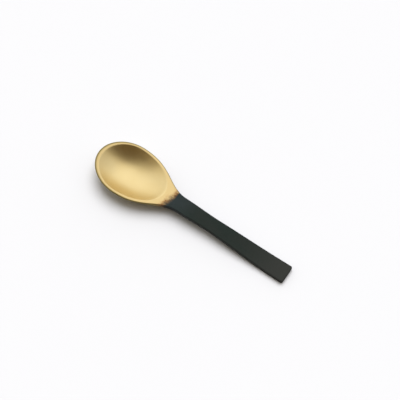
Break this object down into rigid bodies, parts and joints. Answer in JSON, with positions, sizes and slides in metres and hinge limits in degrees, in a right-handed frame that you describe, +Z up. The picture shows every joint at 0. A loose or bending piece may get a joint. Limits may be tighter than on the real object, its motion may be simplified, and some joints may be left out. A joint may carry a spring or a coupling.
{
  "type": "teaspoon",
  "caption": "Small metal spoon with an oval satin gold-coloured bowl, a flat rim and a flat matt black handle that widens to a squared end.",
  "frame": {"origin": "middle of the spoon's length on the table plane that it rests on, midway between its sides", "axes": "+X along the spoon from the bowl to the squared end of the handle, +Z up out of the bowl's hollow, +Y across; the XZ plane is its mirror plane"},
  "size_m": [0.13, 0.0334, 0.0112],
  "materials": {
    "gold_metal": "satin, fine brushed lines across the bowl",
    "black_finish": "matt black lacquer",
    "cured_adhesive": "cured amber epoxy, hidden inside the handle"
  },
  "bodies": {
    "root": {"bowl_and_tang": "gold_metal", "handle_sleeve": "black_finish", "tang_adhesive": "cured_adhesive"}
  },
  "joints": []
}
